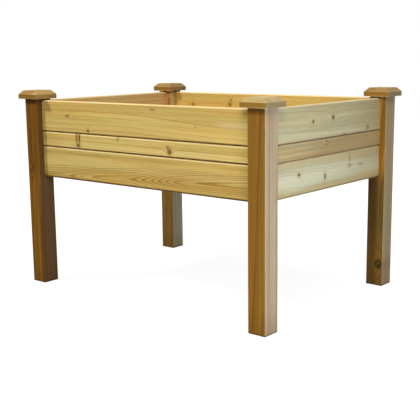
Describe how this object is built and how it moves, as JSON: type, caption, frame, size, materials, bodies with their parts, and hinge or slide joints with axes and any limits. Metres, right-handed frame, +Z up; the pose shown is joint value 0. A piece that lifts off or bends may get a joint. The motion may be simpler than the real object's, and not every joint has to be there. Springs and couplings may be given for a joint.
{
  "type": "raised planter",
  "caption": "Raised rectangular cedar planter box on square corner legs, with board walls, chamfered leg caps and a slatted draining floor at standing working height.",
  "frame": {"origin": "on the ground, under the middle of the planter", "axes": "+X along the long walls, front wall facing -Y, +Z up"},
  "size_m": [1.256, 0.917, 0.804],
  "materials": {
    "cedar_boards": "planed, unfinished",
    "cedar_legs": "planed, brown stained",
    "cedar_caps": "planed, brown stained",
    "cedar_floor": "planed, unfinished",
    "dowel_wood": "turned",
    "screw_steel": "zinc plated"
  },
  "bodies": {
    "root": {"back_board_bottom": "cedar_boards", "back_board_middle": "cedar_boards", "back_board_top": "cedar_boards", "cap_back_left": "cedar_caps", "cap_back_right": "cedar_caps", "cap_dowels": "dowel_wood", "cap_front_left": "cedar_caps", "cap_front_right": "cedar_caps", "floor_ledger_back": "cedar_floor", "floor_ledger_front": "cedar_floor", "floor_slat_1": "cedar_floor", "floor_slat_2": "cedar_floor", "floor_slat_3": "cedar_floor", "floor_slat_4": "cedar_floor", "floor_slat_5": "cedar_floor", "floor_slat_6": "cedar_floor", "floor_slat_7": "cedar_floor", "floor_slat_8": "cedar_floor", "front_board_bottom": "cedar_boards", "front_board_middle": "cedar_boards", "front_board_top": "cedar_boards", "ledger_screws": "screw_steel", "left_board_bottom": "cedar_boards", "left_board_middle": "cedar_boards", "left_board_top": "cedar_boards", "leg_back_left": "cedar_legs", "leg_back_right": "cedar_legs", "leg_front_left": "cedar_legs", "leg_front_right": "cedar_legs", "right_board_bottom": "cedar_boards", "right_board_middle": "cedar_boards", "right_board_top": "cedar_boards", "slat_screws": "screw_steel"}
  },
  "joints": []
}
